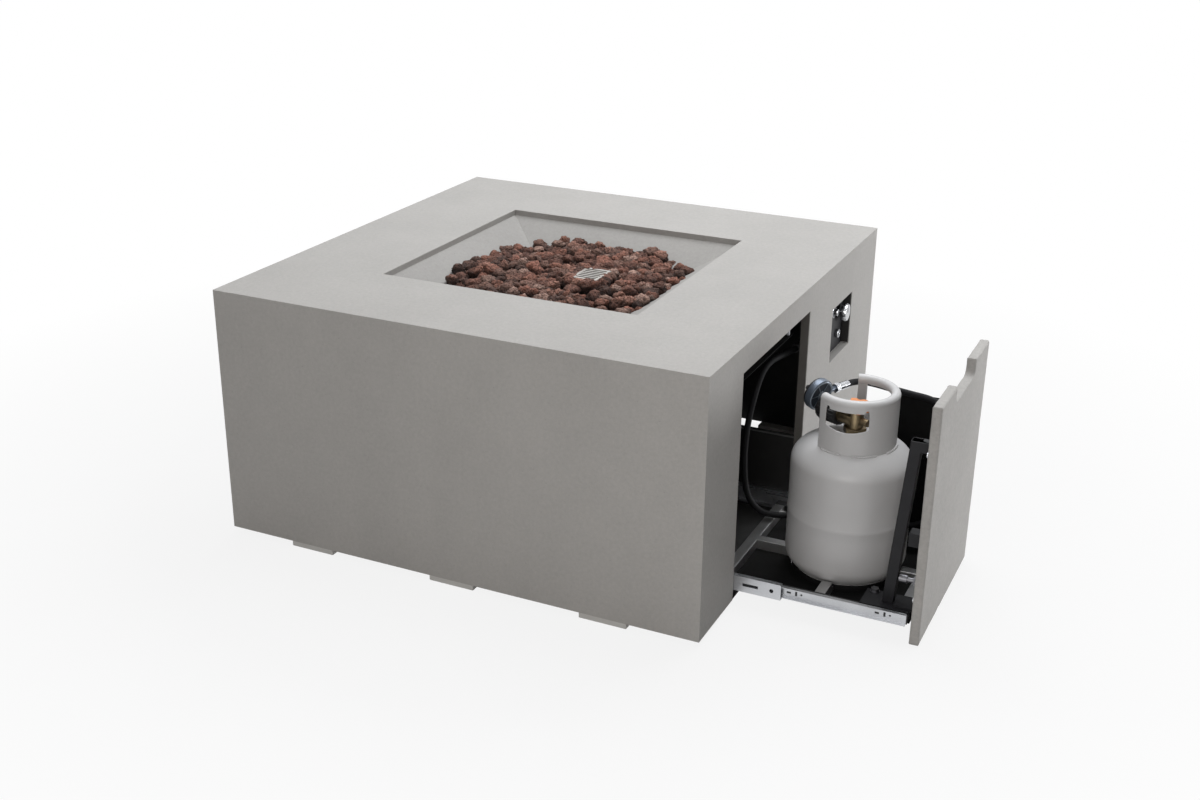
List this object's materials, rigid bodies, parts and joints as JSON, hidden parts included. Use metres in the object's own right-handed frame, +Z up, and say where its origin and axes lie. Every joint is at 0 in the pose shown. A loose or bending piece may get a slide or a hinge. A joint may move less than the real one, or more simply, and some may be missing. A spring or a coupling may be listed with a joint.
{
  "type": "gas fire pit table",
  "caption": "Square concrete gas fire pit table with a sunken lava rock bowl, a control niche and a pull-out drawer holding a gas cylinder.",
  "frame": {"origin": "centre of the concrete shell's footprint, on the floor", "axes": "+Z up; +X out of the right face, the way the drawer opens; -Y towards the plain front face"},
  "size_m": [1.366, 1.016, 0.516],
  "materials": {
    "concrete": "smooth cast concrete, matt",
    "lava_rock": "rough porous lava rock",
    "black_steel": "matt black powder coat",
    "zinc_steel": "zinc plated steel",
    "stainless": "brushed stainless, heat stained",
    "tank_paint": "light grey semi-gloss paint",
    "chrome": "polished chrome",
    "brass": "machined brass",
    "zinc_cast": "blue-grey painted casting",
    "copper_lead": "drawn copper lead",
    "ceramic_white": "glazed insulator",
    "rubber": "black hose rubber",
    "black_plastic": "matt moulded plastic",
    "pad_plastic": "pale grey moulded pad",
    "orange_plastic": "matt moulded plastic"
  },
  "bodies": {
    "table": {"concrete_shell": "concrete", "foot_pads": "pad_plastic", "rear_tie": "black_steel", "near_side_plate": "black_steel", "far_side_plate": "black_steel", "frame_bolts": "zinc_steel", "slide_outer_near": "zinc_steel", "slide_outer_far": "zinc_steel", "burner_pan": "stainless", "burner_ring": "stainless", "air_mixer": "brass", "mixer_elbow": "brass", "feed_tube": "stainless", "pilot_shield": "stainless", "pilot_burner": "stainless", "thermocouple": "copper_lead", "spark_electrode": "ceramic_white", "lava_rock_bed": "lava_rock", "heat_shield": "black_steel", "shield_standoffs": "zinc_steel", "control_plate": "black_steel", "plate_screws": "zinc_steel", "gas_valve": "zinc_steel", "igniter_body": "black_plastic", "igniter_bezel": "chrome", "key_valve": "brass", "key_bushing": "chrome", "hose_end_fitting": "brass", "hose_clip": "black_plastic"},
    "plunger": {"valve_plunger": "brass"},
    "knob": {"valve_stem": "zinc_steel", "control_knob": "chrome"},
    "button": {"igniter_button": "chrome"},
    "key": {"key_socket_stem": "black_steel"},
    "middle": {"slide_middle_near": "zinc_steel", "slide_middle_far": "zinc_steel"},
    "outer_cage": {"outer_ball_cages": "zinc_steel"},
    "inner_cage": {"inner_ball_cages": "zinc_steel"},
    "drawer": {"slide_inner_near": "zinc_steel", "slide_inner_far": "zinc_steel", "drawer_frame": "zinc_steel", "drawer_tray": "black_steel", "tank_cup": "black_plastic", "corner_plates": "black_steel", "front_struts": "black_steel", "far_gusset": "black_steel", "front_brackets": "black_steel", "drawer_bolts": "zinc_steel", "bracket_screws": "zinc_steel", "drawer_front": "concrete", "tank_body": "tank_paint", "tank_foot_ring": "tank_paint", "tank_collar": "tank_paint", "tank_valve": "brass", "regulator_body": "zinc_cast", "regulator_cover": "black_plastic", "hose_ferrule": "chrome", "gas_hose": "rubber"},
    "handwheel": {"valve_handwheel": "orange_plastic"},
    "nut": {"coupling_nut": "black_plastic"}
  },
  "joints": [
    {"name": "drawer_slide", "type": "slide", "parent": "table", "child": "drawer", "axis": [1, 0, 0], "range_m": [-0.35, 0], "deforming": ["gas_hose"]},
    {"name": "middle_slide", "type": "slide", "parent": "table", "child": "middle", "axis": [1, 0, 0], "range_m": [-0.119, 0]},
    {"name": "outer_cage_roll", "type": "slide", "parent": "table", "child": "outer_cage", "axis": [1, 0, 0], "range_m": [-0.0595, 0]},
    {"name": "inner_cage_roll", "type": "slide", "parent": "table", "child": "inner_cage", "axis": [1, 0, 0], "range_m": [-0.2345, 0]},
    {"name": "knob_push", "type": "slide", "parent": "table", "child": "plunger", "axis": [-1, 0, 0], "range_m": [0, 0.003], "stiffness_N_per_m": 1500},
    {"name": "knob_turn", "type": "hinge", "parent": "plunger", "child": "knob", "pos_m": [0.498, 0.305, 0.381], "axis": [1, 0, 0], "range_deg": [0, 90]},
    {"name": "igniter_press", "type": "slide", "parent": "table", "child": "button", "axis": [-1, 0, 0], "range_m": [0, 0.004], "stiffness_N_per_m": 800},
    {"name": "key_turn", "type": "hinge", "parent": "table", "child": "key", "pos_m": [0.49, 0.297, 0.334], "axis": [1, 0, 0], "range_deg": [0, 90]},
    {"name": "handwheel_turn", "type": "hinge", "parent": "drawer", "child": "handwheel", "pos_m": [0.664, -0.15, 0.36], "axis": [0, 0, 1], "range_deg": [0, 540]},
    {"name": "nut_turn", "type": "hinge", "parent": "drawer", "child": "nut", "pos_m": [0.664, -0.15, 0.336], "axis": [-0.9063, 0.4226, 0], "continuous": true}
  ],
  "couplings": [
    {"joint": "middle_slide", "follows": "drawer_slide", "ratio": 0.34},
    {"joint": "outer_cage_roll", "follows": "drawer_slide", "ratio": 0.17},
    {"joint": "inner_cage_roll", "follows": "drawer_slide", "ratio": 0.67}
  ]
}
